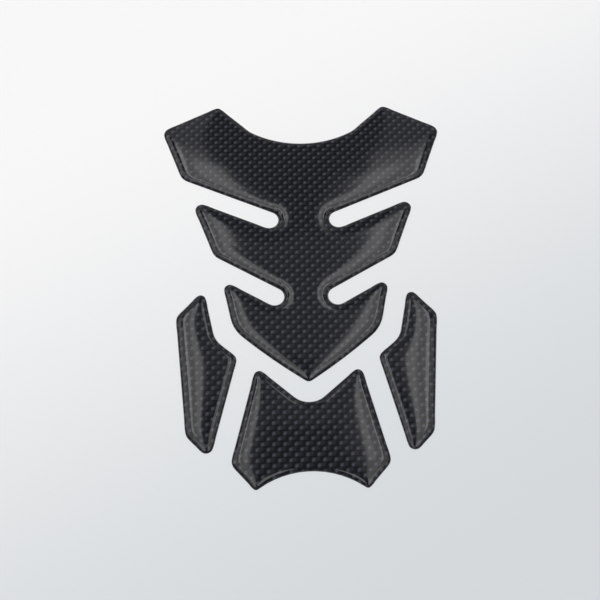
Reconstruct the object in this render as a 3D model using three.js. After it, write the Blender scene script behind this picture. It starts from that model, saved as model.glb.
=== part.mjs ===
// A motorcycle tank pad in four segments, lying on its adhesive back as it goes on the tank.
// Each segment is a carbon-look vinyl film with a clear resin dome cast on it up to the cut edge.
// Millimetres and degrees. The back lies in the plane z = 0 and +Y points to the front of the tank.

import * as THREE from 'three';
import { ConvexHull } from 'three/addons/math/ConvexHull.js';

// Thicknesses: the dome stands steeply off the cut edge, then swells slowly towards the middle.
const FILM_THICKNESS = 0.3;
const RIM_HEIGHT = 1.2;
const RIM_WIDTH = 2.6;
const CROWN_RISE = 1.2;
const CROWN_REACH = 3.5;

// Gaps that split the pad: the slots between the wings, and the channels between the segments.
const SLOT_WIDTH = 9.1;
const SIDE_CHANNEL = 9.3;
const TAIL_CHANNEL = 7.2;

// Main segment, right half. A corner is [x, y, radius], where x and y are the sharp corner.
const NOTCH = [0, 69.9, 50];
const NOTCH_SHOULDER = [26, 84.4, 6];
const HORN_INNER = [42.3, 99.9, 2.7];
const HORN_OUTER = [70.8, 85.4, 4.1];
const V_BEND = [16.7, -40.2, 260];
const V_POINT = [0, -51.5, 2.5];

// The outer edges of its three pairs of wings: a point on the edge and the edge's direction. The upper
// wing's edge starts at the horn.
const UPPER_WING_ANGLE = 69.4;
const MIDDLE_WING_EDGE = [55.6, 45.1, 69.2];
const LOWER_WING_EDGE = [39.9, 1, 77.9];
const V_FLANK_ANGLE = 40.9;

// The slots between the wings: the centre of the round end and the slot's direction.
const UPPER_SLOT = [17, 33, 23.7];
const LOWER_SLOT = [14.9, -8.4, 30.2];

// Corner radii that follow from the edges meeting there.
const UPPER_WING_HEEL_RADIUS = 7.3;
const MIDDLE_WING_TIP_RADIUS = 3.2;
const MIDDLE_WING_HEEL_RADIUS = 7.2;
const LOWER_WING_TIP_RADIUS = 2.7;
const LOWER_WING_HEEL_RADIUS = 17.5;

// Tail segment, right half.
const TAIL_V_RADIUS = 10.4;
const TAIL_SHOULDER_RADIUS = 2.6;
const TAIL_SIDE_ANGLE = 104.1;
const TAIL_HEEL = [35.3, -88.8, 4.9];
const TAIL_TOE = [24.5, -100.8, 1.5];
const TAIL_ARCH = [0, -83.8, 40];

// Side segment, right hand one.
const SIDE_TIP_RADIUS = 2.5;
const SIDE_TIP_ANGLE = -47.9;
const SIDE_SHOULDER = [61, -18.4, 4.7];
const SIDE_HIP = [55.2, -75.7, 6.4];
const SIDE_TOE_ANGLE = 45.3;
const SIDE_TOE_RADIUS = 3.1;
const SIDE_KNEE_RADIUS = 3.6;
const SIDE_HOLLOW_RADIUS = 11;

// How finely the solids are faceted.
const ARC_SAGITTA = 0.05;
const EDGE_STEP = 6;
const LATTICE_STEP = 4.5;
const RIM_ROWS = [0.06, 0.27, 0.73];

const FILM_MATERIAL = new THREE.MeshStandardMaterial({ color: '#1d1e21', roughness: 0.5, metalness: 0 });
const DOME_MATERIAL = new THREE.MeshStandardMaterial({ color: '#232329', roughness: 0.05, metalness: 0 });

// A straight edge is a point and a unit direction.
function edge([x, y, degrees]) {
  const angle = THREE.MathUtils.degToRad(degrees);
  return { point: new THREE.Vector2(x, y), along: new THREE.Vector2(Math.cos(angle), Math.sin(angle)) };
}

// The same edge moved sideways, to the right of its direction.
function beside({ point, along }, distance) {
  const right = new THREE.Vector2(along.y, -along.x);
  return { point: point.clone().addScaledVector(right, distance), along };
}

// The corner where two edges meet, rounded by the radius.
function meet(first, second, radius) {
  const between = second.point.clone().sub(first.point);
  const reach = between.cross(second.along) / first.along.cross(second.along);
  const corner = first.point.clone().addScaledVector(first.along, reach);
  return [corner.x, corner.y, radius];
}

// A slot's two edges and the corners of its end, whose radius is half the slot's width.
function slot([x, y, degrees]) {
  const middle = edge([x, y, degrees]);
  const radius = SLOT_WIDTH / 2;
  const end = edge([x, y, degrees + 90]);
  end.point.addScaledVector(middle.along, -radius);
  const upper = beside(middle, -radius);
  const lower = beside(middle, radius);
  return { upper, lower, upperEnd: meet(upper, end, radius), lowerEnd: meet(lower, end, radius) };
}

const mirrored = (corners) => corners.map(([x, y, radius]) => [-x, y, radius]).reverse();

// Edges that more than one segment takes its place from.
const lowerWingEdge = edge(LOWER_WING_EDGE);
const vFlank = edge([V_BEND[0], V_BEND[1], V_FLANK_ANGLE]);
const tailSide = edge([TAIL_HEEL[0], TAIL_HEEL[1], TAIL_SIDE_ANGLE]);

function mainCorners() {
  const upperWing = edge([HORN_OUTER[0], HORN_OUTER[1], UPPER_WING_ANGLE]);
  const middleWing = edge(MIDDLE_WING_EDGE);
  const upperSlot = slot(UPPER_SLOT);
  const lowerSlot = slot(LOWER_SLOT);
  const right = [
    V_BEND,
    meet(vFlank, lowerWingEdge, LOWER_WING_HEEL_RADIUS),
    meet(lowerWingEdge, lowerSlot.lower, LOWER_WING_TIP_RADIUS),
    lowerSlot.lowerEnd,
    lowerSlot.upperEnd,
    meet(lowerSlot.upper, middleWing, MIDDLE_WING_HEEL_RADIUS),
    meet(middleWing, upperSlot.lower, MIDDLE_WING_TIP_RADIUS),
    upperSlot.lowerEnd,
    upperSlot.upperEnd,
    meet(upperSlot.upper, upperWing, UPPER_WING_HEEL_RADIUS),
    HORN_OUTER,
    HORN_INNER,
    NOTCH_SHOULDER,
  ];
  return [V_POINT, ...right, NOTCH, ...mirrored(right)];
}

function tailCorners() {
  const flank = beside(vFlank, TAIL_CHANNEL);
  const centre = edge([0, 0, 90]);
  const right = [TAIL_TOE, TAIL_HEEL, meet(tailSide, flank, TAIL_SHOULDER_RADIUS)];
  return [TAIL_ARCH, ...right, meet(centre, flank, TAIL_V_RADIUS), ...mirrored(right)];
}

function sideCorners() {
  const tip = edge([SIDE_SHOULDER[0], SIDE_SHOULDER[1], SIDE_TIP_ANGLE]);
  const toe = edge([SIDE_HIP[0], SIDE_HIP[1], SIDE_TOE_ANGLE]);
  const alongTail = beside(tailSide, SIDE_CHANNEL);
  const alongFlank = beside(vFlank, SIDE_CHANNEL);
  const alongWing = beside(lowerWingEdge, SIDE_CHANNEL);
  return [
    meet(alongTail, toe, SIDE_TOE_RADIUS),
    SIDE_HIP,
    SIDE_SHOULDER,
    meet(tip, alongWing, SIDE_TIP_RADIUS),
    meet(alongWing, alongFlank, SIDE_HOLLOW_RADIUS),
    meet(alongFlank, alongTail, SIDE_KNEE_RADIUS),
  ];
}

// The closed outline through a loop of corners, counterclockwise, each rounded by an arc tangent to both
// of its edges. Every point keeps its inward normal and how far a rim row may step in from it.
function outlineOf(corners) {
  const count = corners.length;
  const sharp = corners.map(([x, y]) => new THREE.Vector2(x, y));
  const along = sharp.map((point, i) => sharp[(i + 1) % count].clone().sub(point));
  const turn = along.map((ahead, i) => {
    const before = along[(i + count - 1) % count];
    return Math.atan2(before.cross(ahead), before.dot(ahead));
  });
  const cut = corners.map(([, , radius], i) => radius * Math.abs(Math.tan(turn[i] / 2)));
  const points = [];
  const add = (point, normal, depth) => {
    const last = points.at(-1);
    if (!last || last.point.distanceTo(point) > ARC_SAGITTA) points.push({ point, normal, depth });
  };
  for (let i = 0; i < count; i++) {
    const before = (i + count - 1) % count;
    const after = (i + 1) % count;
    const room = Math.min(
      1,
      along[before].length() / (cut[before] + cut[i]),
      along[i].length() / (cut[i] + cut[after]),
    );
    const radius = corners[i][2] * room;
    const side = Math.sign(turn[i]);
    const arrive = along[before].clone().normalize();
    const inward = new THREE.Vector2(-arrive.y, arrive.x);
    const start = sharp[i].clone().addScaledVector(arrive, -cut[i] * room);
    const centre = start.clone().addScaledVector(inward, side * radius);
    const steps = Math.ceil(Math.abs(turn[i]) / (2 * Math.acos(1 - ARC_SAGITTA / radius)));
    for (let step = 0; step <= steps; step++) {
      const normal = inward.clone().rotateAround(new THREE.Vector2(), (turn[i] * step) / steps);
      const point = centre.clone().addScaledVector(normal, -side * radius);
      add(point, normal, side > 0 ? radius : Infinity);
    }
    const leave = points.at(-1);
    const straight = along[i].length() - cut[i] * room - cut[after];
    const parts = Math.ceil(straight / EDGE_STEP);
    for (let part = 1; part < parts; part++) {
      const ahead = along[i].clone().setLength((straight * part) / parts);
      add(leave.point.clone().add(ahead), leave.normal, Infinity);
    }
  }
  if (points.at(-1).point.distanceTo(points[0].point) < ARC_SAGITTA) points.pop();
  return points;
}

// A distance to the outline that is smooth across the middle: near an edge it is the distance to it, and
// between two parallel edges it is the product of both distances over their sum.
function smoothDistance(place, outline) {
  let sum = 0;
  for (let i = 0; i < outline.length; i++) {
    const a = outline[i].point.clone().sub(place);
    const b = outline[(i + 1) % outline.length].point.clone().sub(place);
    const tanHalf = a.cross(b) / (a.length() * b.length() + a.dot(b));
    sum += (1 / a.length() + 1 / b.length()) * tanHalf;
  }
  return 2 / sum;
}

// Height of the dome over the film: a quarter ellipse at the rim, and the slow swell of the crown.
function domeHeight(distance) {
  const rim = Math.max(0, 1 - distance / RIM_WIDTH);
  return RIM_HEIGHT * Math.sqrt(1 - rim * rim) + CROWN_RISE * (1 - Math.exp(-distance / CROWN_REACH));
}

function isInside(place, loop) {
  let inside = false;
  loop.forEach((a, i) => {
    const b = loop[(i + 1) % loop.length];
    const crosses = a.y > place.y !== b.y > place.y;
    if (crosses && place.x < a.x + ((place.y - a.y) * (b.x - a.x)) / (b.y - a.y)) inside = !inside;
  });
  return inside;
}

// Points of a triangular lattice that lie inside the loop, clear of its edges.
function latticeInside(loop) {
  const box = new THREE.Box2().setFromPoints(loop);
  const rowStep = (LATTICE_STEP * Math.sqrt(3)) / 2;
  const places = [];
  for (let row = Math.floor(box.min.y / rowStep); row * rowStep < box.max.y; row++) {
    const shift = row % 2 ? LATTICE_STEP / 2 : 0;
    for (let column = Math.floor(box.min.x / LATTICE_STEP); column * LATTICE_STEP < box.max.x; column++) {
      const place = new THREE.Vector2(column * LATTICE_STEP + shift, row * rowStep);
      const clear = loop.every((point) => point.distanceTo(place) > LATTICE_STEP * 0.6);
      if (clear && isInside(place, loop)) places.push(place);
    }
  }
  return places;
}

// Triangles between the points, as index triples: the lower side of the hull of the points lifted onto
// a paraboloid, kept where it lies inside the loop.
function triangulate(places, loop) {
  const lifted = places.map((p, i) => Object.assign(new THREE.Vector3(p.x, p.y, p.lengthSq()), { index: i }));
  const triangles = [];
  for (const face of new ConvexHull().setFromPoints(lifted).faces) {
    if (face.normal.z > -1e-9) continue;
    const triple = [face.edge, face.edge.next, face.edge.prev].map((side) => side.head().point.index);
    const middle = new THREE.Vector2();
    triple.forEach((index) => middle.addScaledVector(places[index], 1 / 3));
    if (isInside(middle, loop)) triangles.push(triple.toReversed());
  }
  return triangles;
}

function filmGeometry(outline) {
  const shape = new THREE.Shape(outline.map(({ point }) => point));
  return new THREE.ExtrudeGeometry(shape, { depth: FILM_THICKNESS, bevelEnabled: false });
}

// The dome is a flat base on the film, rows of quads up the rim, and a lattice over the crown.
function domeGeometry(outline) {
  const base = outline.map(({ point }) => point);
  const rows = RIM_ROWS.map((share) => outline.map(({ point, normal, depth }) => {
    const inset = Math.min(share * RIM_WIDTH, share * depth);
    return point.clone().addScaledVector(normal, inset);
  }));
  const loop = rows.at(-1);
  const lattice = latticeInside(loop);
  const raised = [...rows.flat(), ...lattice];
  const vertices = [
    ...base.map(({ x, y }) => [x, y, 0]),
    ...raised.map((place) => [place.x, place.y, domeHeight(smoothDistance(place, outline))]),
  ];
  const count = base.length;
  const triangles = THREE.ShapeUtils.triangulateShape(base, []).map((triple) => triple.toReversed());
  for (let row = 0; row < rows.length; row++) {
    for (let i = 0; i < count; i++) {
      const next = (i + 1) % count;
      const low = row * count;
      const high = low + count;
      triangles.push([low + i, low + next, high + next], [low + i, high + next, high + i]);
    }
  }
  const firstOfLoop = rows.length * count;
  for (const triple of triangulate([...loop, ...lattice], loop)) {
    triangles.push(triple.map((index) => firstOfLoop + index));
  }
  const geometry = new THREE.BufferGeometry();
  geometry.setAttribute('position', new THREE.Float32BufferAttribute(vertices.flat(), 3));
  geometry.setIndex(triangles.flat());
  geometry.computeVertexNormals();
  return geometry;
}

// One segment of the pad: its film, and the dome standing on the film.
function segment(name, outline) {
  const group = new THREE.Group();
  const film = new THREE.Mesh(filmGeometry(outline), FILM_MATERIAL);
  film.name = `${name}_film`;
  const dome = new THREE.Mesh(domeGeometry(outline), DOME_MATERIAL);
  dome.name = `${name}_dome`;
  dome.position.z = FILM_THICKNESS;
  group.add(film, dome);
  return group;
}

const outlines = {
  main: outlineOf(mainCorners()),
  left_side: outlineOf(mirrored(sideCorners())),
  right_side: outlineOf(sideCorners()),
  tail: outlineOf(tailCorners()),
};

// The pad's origin is the middle of its outline, on the back.
const pad = new THREE.Group();
const spread = new THREE.Box2().setFromPoints(Object.values(outlines).flat().map(({ point }) => point));
pad.position.y = -(spread.min.y + spread.max.y) / 2;
for (const [name, outline] of Object.entries(outlines)) pad.add(segment(name, outline));

export default pad;
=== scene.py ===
"""A domed motorcycle tank pad in four segments, on a pale table between two long softboxes."""

import math

import bmesh
import bpy
import numpy as np
from mathutils import Matrix, Vector
from mathutils.geometry import delaunay_2d_cdt


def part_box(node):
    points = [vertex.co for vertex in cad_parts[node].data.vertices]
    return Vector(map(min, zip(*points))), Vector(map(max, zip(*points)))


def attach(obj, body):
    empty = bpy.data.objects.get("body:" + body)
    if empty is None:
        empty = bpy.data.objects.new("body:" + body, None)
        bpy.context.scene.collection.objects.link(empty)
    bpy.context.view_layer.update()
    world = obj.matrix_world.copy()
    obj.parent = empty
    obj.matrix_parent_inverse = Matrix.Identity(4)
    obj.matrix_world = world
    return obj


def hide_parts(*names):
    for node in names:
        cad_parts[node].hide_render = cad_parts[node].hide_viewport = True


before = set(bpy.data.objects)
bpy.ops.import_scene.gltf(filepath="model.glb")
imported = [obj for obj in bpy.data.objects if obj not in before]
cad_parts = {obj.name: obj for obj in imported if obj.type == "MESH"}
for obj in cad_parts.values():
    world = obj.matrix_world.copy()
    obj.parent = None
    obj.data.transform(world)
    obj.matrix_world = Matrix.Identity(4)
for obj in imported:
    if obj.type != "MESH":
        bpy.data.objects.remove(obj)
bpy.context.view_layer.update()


# The films. Each is a sheet of black vinyl with adhesive on its back, printed with the weave and cut
# to its segment's outline by a plotter. The frame's own solids are used. Only their cut edge shows,
# as a thin dark line under the dome.
SEGMENTS = ("main", "left_side", "right_side", "tail")
MM = 0.001
FILM_COLOURS = ("#131417", "#1b1c1f")
FILM_ROUGHNESS = (0.5, 0.6)
FILM_GRAIN = 0.4 * MM


def linear(hex_colour):
    """Linear RGBA of an sRGB hex colour. A dark share is divided by 12.92. Any other one gains 0.055,
    is divided by 1.055 and is raised to the power of 2.4."""
    shares = [int(hex_colour[i:i + 2], 16) / 255 for i in (1, 3, 5)]
    return [s / 12.92 if s <= 0.04045 else ((s + 0.055) / 1.055) ** 2.4 for s in shares] + [1]


def new_material(name):
    """A new node material and its Principled shader."""
    material = bpy.data.materials.new(name)
    material.use_nodes = True
    return material, material.node_tree.nodes["Principled BSDF"]


def add_node(tree, kind, links=(), **settings):
    """A new node. Settings are its properties. Links are what its inputs get, in order or by name: a
    value, a socket, or a node that stands for its first output."""
    node = tree.nodes.new(kind)
    for name, value in settings.items():
        setattr(node, name, value)
    for socket, source in links.items() if isinstance(links, dict) else enumerate(links):
        if isinstance(source, bpy.types.Node):
            source = source.outputs[0]
        if isinstance(source, bpy.types.NodeSocket):
            tree.links.new(source, node.inputs[socket])
        else:
            node.inputs[socket].default_value = source
    return node


# Calendered vinyl is matt and faintly mottled by its fine grain, so its edge looks dull and dark.
vinyl, shader = new_material("printed_vinyl")
tree = vinyl.node_tree
place = add_node(tree, "ShaderNodeTexCoord").outputs["Object"]
grain = add_node(tree, "ShaderNodeTexNoise", {"Vector": place, "Scale": 1 / FILM_GRAIN})
dark, light = map(linear, FILM_COLOURS)
mottle = add_node(tree, "ShaderNodeMix", {"Factor": grain, "A": dark, "B": light}, data_type="RGBA")
tree.links.new(mottle.outputs["Result"], shader.inputs["Base Color"])
matt = add_node(tree, "ShaderNodeMapRange", [grain, 0, 1, *FILM_ROUGHNESS])
tree.links.new(matt.outputs[0], shader.inputs["Roughness"])

for segment in SEGMENTS:
    for material_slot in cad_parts[f"{segment}_film"].material_slots:
        material_slot.material = vinyl


# The domes. Each is clear polyurethane resin, poured on its film and held at the cut edge by its own
# surface tension until it sets, so it stands steeply off the edge and swells slowly to the middle. The
# profile is the same as the solid dome's, on finer points.
RIM_HEIGHT = 1.2 * MM
RIM_WIDTH = 2.6 * MM
CROWN_RISE = 1.2 * MM
CROWN_REACH = 3.5 * MM

# How finely the domes are drawn: points along the rim, rows in from it, and a lattice over the crown.
RIM_STEP = 0.55 * MM
RIM_ROWS = [
    inset * MM for inset in (0.03, 0.1, 0.2, 0.35, 0.52, 0.72, 0.95, 1.2, 1.5, 1.8, 2.15, 2.5, 2.9, 3.4)
]
ROW_CLEARANCE = 0.97
LATTICE_STEP = 1.4 * MM
LATTICE_CLEARANCE = RIM_ROWS[-1] + LATTICE_STEP * 0.5
SHARP_ANGLE = math.radians(50)

# A face of the film that points further down than BACK_NORMAL is its back. MERGE_DISTANCE joins the
# film's loose triangles. INSIDE_ONLY has the triangulation keep the faces inside the rim, and it takes
# points within SAME_PLACE for one. BLOCK is how many places are worked on at a time.
BACK_NORMAL = -0.9
MERGE_DISTANCE = 1e-6
INSIDE_ONLY = 1
SAME_PLACE = 1e-9
BLOCK = 1500


def film_outline(film):
    """The film's cut outline as an (n, 2) array, counterclockwise: the rim of its flat back."""
    cut = bmesh.new()
    cut.from_mesh(film.data)
    bmesh.ops.remove_doubles(cut, verts=cut.verts, dist=MERGE_DISTANCE)
    cut.normal_update()
    back = [face for face in cut.faces if face.normal.z < BACK_NORMAL]
    whole = bmesh.ops.dissolve_faces(cut, faces=back, use_verts=False)["region"][0]
    outline = np.array([vertex.co.xy[:] for vertex in whole.verts])
    cut.free()
    return outline[::-1]


def smooth_loop(corners, step):
    """Points about step apart on a smooth closed curve through the corners. Between two corners it is
    the cubic that has their places and their tangents. A corner's tangent is the mean of the
    directions of its two chords, each weighted by the other chord's length."""
    chord = np.roll(corners, -1, 0) - corners
    length = np.hypot(*chord.T)[:, None]
    ahead = chord / length
    before = np.roll(ahead, 1, 0)
    reach = np.roll(length, 1, 0)
    tangent = (before * length + ahead * reach) / (length + reach)
    count = np.maximum(1, np.round(length[:, 0] / step)).astype(int)
    first = np.cumsum(count) - count
    start = np.repeat(np.arange(len(corners)), count)
    end = (start + 1) % len(corners)
    t = ((np.arange(len(start)) - first[start]) / count[start])[:, None]
    return (
        (2 * t**3 - 3 * t**2 + 1) * corners[start] + (3 * t**2 - 2 * t**3) * corners[end]
        + (t**3 - 2 * t**2 + t) * length[start] * tangent[start]
        + (t**3 - t**2) * length[start] * tangent[end]
    )


def seen_edges(places, loop):
    """How each place sees each edge of the loop: the distance to the edge's start and to its end, and
    the cross and the dot product of the two lines that lead there."""
    start = loop[None] - places[:, None]
    end = np.roll(start, -1, 1)
    reach = np.hypot(start[..., 0], start[..., 1])
    cross = start[..., 0] * end[..., 1] - start[..., 1] * end[..., 0]
    return reach, np.roll(reach, -1, 1), cross, (start * end).sum(-1)


def smooth_distance(places, loop):
    """Two over the sum, for all the loop's edges, of the tangent of half the angle that the edge is
    seen under, times one over the distance to its start plus one over that to its end. Near the loop
    it is the distance to it, and it is smooth in the middle."""
    near, far, cross, dot = seen_edges(places, loop)
    return 2 / ((1 / near + 1 / far) * cross / (near * far + dot)).sum(1)


def signed_clearance(places, loop):
    """The distance to the loop's nearest point. It is negative outside the loop, where the angles that
    the edges are seen under don't add up to a full turn."""
    reach, _, cross, dot = seen_edges(places, loop)
    turn = np.arctan2(cross, dot).sum(1)
    return reach.min(1) * np.where(turn > math.pi, 1, -1)


def in_blocks(measure, places, loop):
    """A measure of the places against the loop, a block of places at a time, to spare memory."""
    blocks = [places[i:i + BLOCK] for i in range(0, len(places), BLOCK)]
    return np.concatenate([measure(block, loop) for block in blocks])


def dome_height(distance):
    """A quarter ellipse over the rim's width, plus the crown's rise times one minus the exponential of
    minus the distance over the crown's reach."""
    rim = np.clip(1 - distance / RIM_WIDTH, 0, 1)
    return RIM_HEIGHT * np.sqrt(1 - rim**2) + CROWN_RISE * (1 - np.exp(-distance / CROWN_REACH))


def crown_lattice(low, high):
    """Points of a lattice of even triangles, from the low to the high corner of a box."""
    columns = np.arange(low[0], high[0], LATTICE_STEP)
    lines = np.arange(low[1], high[1], LATTICE_STEP * math.sqrt(3) / 2)
    x, y = np.meshgrid(columns, lines)
    x[::2] += LATTICE_STEP / 2
    return np.stack([x.ravel(), y.ravel()], 1)


def dome_mesh(name, outline, bottom):
    """A dome over the outline, with one flat face underneath. Its rim is carried inwards row by row,
    without the points that come nearer to another stretch of the rim than to their own. The lattice
    fills the crown, and a triangulation joins them all."""
    rim = smooth_loop(outline, RIM_STEP)
    along = np.roll(rim, -1, 0) - np.roll(rim, 1, 0)
    inward = np.stack([-along[:, 1], along[:, 0]], 1) / np.hypot(*along.T)[:, None]
    places = [rim]
    for inset in RIM_ROWS:
        row = rim + inward * inset
        places.append(row[in_blocks(signed_clearance, row, rim) > inset * ROW_CLEARANCE])
    lattice = crown_lattice(rim.min(0), rim.max(0))
    places.append(lattice[in_blocks(signed_clearance, lattice, rim) > LATTICE_CLEARANCE])
    points = [Vector(place) for place in np.concatenate(places).tolist()]
    count = len(rim)
    edges = [(i, (i + 1) % count) for i in range(count)]
    flat, _, faces, _, _, _ = delaunay_2d_cdt(points, edges, [], INSIDE_ONLY, SAME_PLACE)
    flat = np.array([point[:] for point in flat])
    height = np.zeros(len(flat))
    height[count:] = dome_height(in_blocks(smooth_distance, flat[count:], rim))
    underside = list(range(count))[::-1]
    mesh = bpy.data.meshes.new(name)
    mesh.from_pydata(np.column_stack([flat, bottom + height]), [], [*faces, underside])
    mesh.shade_smooth()
    mesh.set_sharp_from_angle(angle=SHARP_ANGLE)
    return mesh


# The weave that the films are printed with, seen through the resin. It is one lattice that runs on
# across all four segments. Where a tow lies on top, it shows a short bright dot and a fainter tail.
# Sizes along a row are shares of a repeat, and sizes across it are shares of half a repeat.
WEAVE_REPEAT = (4.91 * MM, 4.85 * MM)
WEAVE_COLOURS = ("#101216", "#4e5059")
DOT_PLACE = (0.9 * MM, -0.24 * MM)
DOT_CENTRE = 0.31
DOT_RISE = (0.08, 0.29)
DOT_FALL = (0.33, 0.54)
DOT_SIDES = (0, 0.5)
TAIL_FALL = (0.72, 1)
TAIL_SIDES = (0.2, 0.55)
TAIL_SHARE = 0.2
TOW_LEAN = 0.45
PRINT_ROUGHNESS = 0.5
RESIN_IOR = 1.5
RESIN_ROUGHNESS = 0.08


def weave_light(tree):
    """How bright the weave is, from 0 to 1. Rows lie half a repeat apart, and every other row is
    shifted sideways by half a repeat. Along a row, s runs from 0 to 1 over one dot and its tail, and t
    is the distance from the row's middle, which leans with s. The light is a smooth rise in s, times
    the sum of the dot and the tail. Each of those is a smooth fall in s times one in t."""
    place = add_node(tree, "ShaderNodeTexCoord").outputs["Object"]
    scale = (1 / WEAVE_REPEAT[0], 2 / WEAVE_REPEAT[1], 1)
    shift = (DOT_CENTRE - DOT_PLACE[0] * scale[0], -DOT_PLACE[1] * scale[1], 0)
    cells = add_node(tree, "ShaderNodeMapping", {"Vector": place, "Location": shift, "Scale": scale})
    x, y, _ = add_node(tree, "ShaderNodeSeparateXYZ", [cells]).outputs
    row = add_node(tree, "ShaderNodeMath", [y], operation="ROUND")
    shifted = add_node(tree, "ShaderNodeMath", [row, 0.5, x], operation="MULTIPLY_ADD")
    s = add_node(tree, "ShaderNodeMath", [shifted], operation="FRACT")
    past_dot = add_node(tree, "ShaderNodeMath", [s, DOT_CENTRE], operation="SUBTRACT")
    off_row = add_node(tree, "ShaderNodeMath", [y, row], operation="SUBTRACT")
    leaning = add_node(tree, "ShaderNodeMath", [past_dot, -TOW_LEAN, off_row], operation="MULTIPLY_ADD")
    t = add_node(tree, "ShaderNodeMath", [leaning], operation="ABSOLUTE")
    lit = []
    for ends, sides, share in (
        (DOT_FALL, DOT_SIDES, 1 - TAIL_SHARE),
        (TAIL_FALL, TAIL_SIDES, TAIL_SHARE),
    ):
        in_s = add_node(tree, "ShaderNodeMapRange", [s, *ends, share, 0], interpolation_type="SMOOTHSTEP")
        in_t = add_node(tree, "ShaderNodeMapRange", [t, *sides, 1, 0], interpolation_type="SMOOTHSTEP")
        lit.append(add_node(tree, "ShaderNodeMath", [in_s, in_t], operation="MULTIPLY"))
    both = add_node(tree, "ShaderNodeMath", lit, operation="ADD")
    rise = add_node(tree, "ShaderNodeMapRange", [s, *DOT_RISE, 0, 1], interpolation_type="SMOOTHSTEP")
    return add_node(tree, "ShaderNodeMath", [rise, both], operation="MULTIPLY")


# Cast polyurethane over a print: the eye sees a dull pattern, and over it a wet, smooth gloss that
# mirrors the lamps. The print has no gloss of its own, because it has no air over it.
resin, shader = new_material("resin_over_carbon_weave")
tree = resin.node_tree
dark, light = map(linear, WEAVE_COLOURS)
mixed = {"Factor": weave_light(tree), "A": dark, "B": light}
weave = add_node(tree, "ShaderNodeMix", mixed, data_type="RGBA")
tree.links.new(weave.outputs["Result"], shader.inputs["Base Color"])
shader.inputs["Roughness"].default_value = PRINT_ROUGHNESS
shader.inputs["Specular IOR Level"].default_value = 0
shader.inputs["Coat Weight"].default_value = 1
shader.inputs["Coat IOR"].default_value = RESIN_IOR
shader.inputs["Coat Roughness"].default_value = RESIN_ROUGHNESS

for segment in SEGMENTS:
    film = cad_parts[f"{segment}_film"]
    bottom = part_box(f"{segment}_dome")[0].z
    mesh = dome_mesh(f"{segment}_resin", film_outline(film), bottom)
    mesh.materials.append(resin)
    dome = bpy.data.objects.new(f"{segment}_resin", mesh)
    bpy.context.scene.collection.objects.link(dome)
    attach(dome, "root")
    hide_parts(f"{segment}_dome")


# The table that the pad lies on. Its top is white at the pad's front left and greys towards its rear
# right, as the photo's background does. That greying is painted shade, a fall-off of the light painted
# into its colour. The camera and the mirroring resin see it mostly as an even sheet, and the rest
# keeps the pad's shadow.
TABLE_HALF = 12
# The pale colour is the table's own white, and the grey is painted shade.
TABLE_LIT_AND_SHADED_COLOURS = ("#fefefe", "#dadee1")
TABLE_ROUGHNESS = 0.8
FADE_DIRECTION = (0.47, -0.88, 0)
FADE_ENDS = (-0.15, 0.16)
EVEN_SHARE = 0.75

table_mesh = bpy.data.meshes.new("table_top")
table_corners = np.array([(-1, -1, 0), (1, -1, 0), (1, 1, 0), (-1, 1, 0)]) * TABLE_HALF
table_mesh.from_pydata(table_corners, [], [(0, 1, 2, 3)])
table = bpy.data.objects.new("table_top", table_mesh)
bpy.context.scene.collection.objects.link(table)

# Matt laminate, which spreads the light and mirrors none of the lamps. Its colour carries the painted
# shade.
laminate, shader = new_material("white_laminate")
tree = laminate.node_tree
place = add_node(tree, "ShaderNodeTexCoord").outputs["Object"]
across = add_node(tree, "ShaderNodeVectorMath", [place, FADE_DIRECTION], operation="DOT_PRODUCT")
ends = [across.outputs["Value"], *FADE_ENDS]
fade = add_node(tree, "ShaderNodeMapRange", ends, interpolation_type="SMOOTHSTEP")
# Painted shade: the colour fades from the pale white to the grey across the top, standing in for the
# light falling off.
pale, grey = map(linear, TABLE_LIT_AND_SHADED_COLOURS)
painted_shade_fade = add_node(tree, "ShaderNodeMix", {"Factor": fade, "A": pale, "B": grey}, data_type="RGBA")
tree.links.new(painted_shade_fade.outputs["Result"], shader.inputs["Base Color"])
shader.inputs["Roughness"].default_value = TABLE_ROUGHNESS
even = add_node(tree, "ShaderNodeEmission", [painted_shade_fade.outputs["Result"], 1])
ray = add_node(tree, "ShaderNodeLightPath")
seen_by = [ray.outputs["Is Camera Ray"], ray.outputs["Is Glossy Ray"]]
seen = add_node(tree, "ShaderNodeMath", seen_by, operation="MAXIMUM")
share = add_node(tree, "ShaderNodeMath", [seen, EVEN_SHARE], operation="MULTIPLY")
surface = add_node(tree, "ShaderNodeMixShader", [share, shader, even])
tree.links.new(surface.outputs[0], tree.nodes["Material Output"].inputs["Surface"])
table_mesh.materials.append(laminate)


# The lamps. A long softbox with a brighter tube along either edge hangs on each side of the pad, with
# plain panels around it. The flat middle of a dome mirrors the dark gap between the softboxes, and its
# steeper rim mirrors a softbox and then the panels beyond it.
LAMP_HEIGHT = 1.5
TUBE_DROP = 0.01
SOFTBOX_ENDS = (-0.15, 1.0)
FOOT_SPREAD = 0.35
GAP_WIDTH = 0.45
BACK_PANEL_ENDS = (1.08, 2.2)
ROOM_GREY = 0.14


def area_lamp(name, across, along, radiance, height=LAMP_HEIGHT):
    """A lamp facing down over a rectangle that is given by its ends in X and in Y. Its power in watts is
    pi times its area times its radiance."""
    lamp = bpy.data.lights.new(name, "AREA")
    lamp.shape = "RECTANGLE"
    lamp.size = abs(across[1] - across[0])
    lamp.size_y = abs(along[1] - along[0])
    lamp.energy = math.pi * lamp.size * lamp.size_y * radiance
    box = bpy.data.objects.new(name, lamp)
    box.location = (sum(across) / 2, sum(along) / 2, height)
    bpy.context.scene.collection.objects.link(box)


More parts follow.
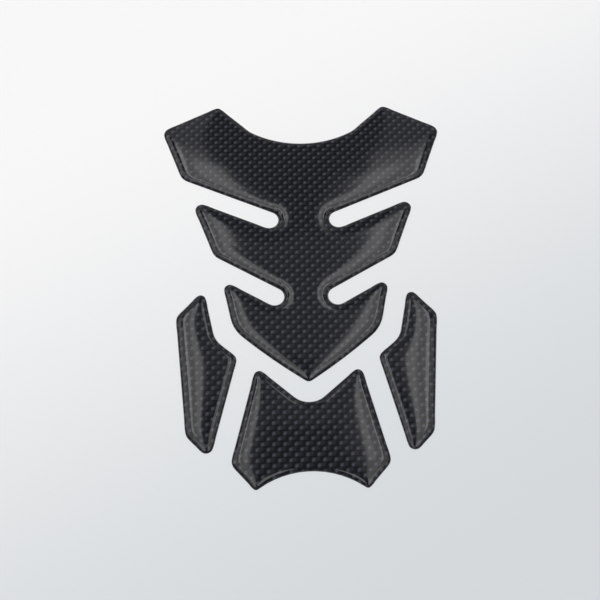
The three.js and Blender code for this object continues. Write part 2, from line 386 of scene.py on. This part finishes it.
def light_side(side, turn, inner, outer, tube_end, glow_start, panel_end, halo, line, glow, far, back):
    """Hangs the lamps of one side, the left for a turn of -1. The softbox's inner and outer edges are
    measured from the pad's middle. A start or an end is a place in Y, and the rest are radiances."""
    near_end, far_end = SOFTBOX_ENDS
    for lamp, across, along, radiance in (
        ("softbox", (inner, outer), (near_end, far_end), 1.3),
        ("softbox_top", (inner, outer), (far_end, 1.07), 0.9),
        ("softbox_foot", (inner + 0.05, outer + FOOT_SPREAD), (-1.05, near_end), 2.1),
        ("softbox_halo", (inner - 0.09, inner), (near_end, far_end), halo),
        ("inner_tube", (inner + 0.005, inner + 0.1), (0.25, tube_end), 0.85),
        ("outer_tube", (outer - 0.13, outer - 0.01), (0.15, tube_end), line),
        ("hot_tube", (inner - 0.04, inner + 0.05), (glow_start, tube_end), glow),
        ("gap_panel", (outer + 0.02, outer + GAP_WIDTH), (near_end, 0.66), 0.9),
        ("far_panel", (outer + GAP_WIDTH, outer + 3.0), (near_end, panel_end), far),
        ("near_panel", (outer + FOOT_SPREAD, outer + 1.2), (-1.3, near_end), 0.9),
        ("back_panel", (inner + 0.02, 3.5), BACK_PANEL_ENDS, back),
    ):
        height = LAMP_HEIGHT - TUBE_DROP if "tube" in lamp else LAMP_HEIGHT
        area_lamp(f"{side}_{lamp}", [turn * end for end in across], along, radiance, height)


light_side(
    "left", -1, inner=0.183, outer=0.5475, tube_end=1.0, glow_start=0.74, panel_end=1.2,
    halo=0.1, line=2.1, glow=1.6, far=1.2, back=0.42,
)
light_side(
    "right", 1, inner=0.2175, outer=0.6225, tube_end=0.96, glow_start=0.88, panel_end=0.9,
    halo=0.2, line=1.8, glow=0.8, far=0.75, back=0.25,
)
area_lamp("ceiling", (-0.18, 0.21), (0.42, 0.85), 0.15)
area_lamp("back_wall", (-4, 4), (BACK_PANEL_ENDS[1], 7), 0.25)

world = bpy.data.worlds.new("studio")
world.use_nodes = True
room = world.node_tree.nodes["Background"]
room.inputs["Color"].default_value = (ROOM_GREY, ROOM_GREY, ROOM_GREY, 1)
bpy.context.scene.world = world
bpy.context.scene.view_settings.view_transform = "Standard"


# The camera. It stands behind the pad's tail, a little to the left, and looks down over the pad as in
# the photo. It is given by its place, the direction that it looks in and the one to its right.
CAMERA_PLACE = Vector((-0.01458, -0.20267, 0.4159))
CAMERA_AHEAD = Vector((0.0253, 0.4207, -0.9068))
CAMERA_RIGHT = Vector((0.9995, -0.0257, 0.0160))
CAMERA_LENS = 58.47

camera = bpy.data.objects.new("camera", bpy.data.cameras.new("camera"))
camera.data.lens = CAMERA_LENS
behind = -CAMERA_AHEAD.normalized()
right = (CAMERA_RIGHT - behind * CAMERA_RIGHT.dot(behind)).normalized()
facing = Matrix((right, behind.cross(right), behind)).transposed().to_4x4()
camera.matrix_world = Matrix.Translation(CAMERA_PLACE) @ facing
bpy.context.scene.collection.objects.link(camera)
bpy.context.scene.camera = camera
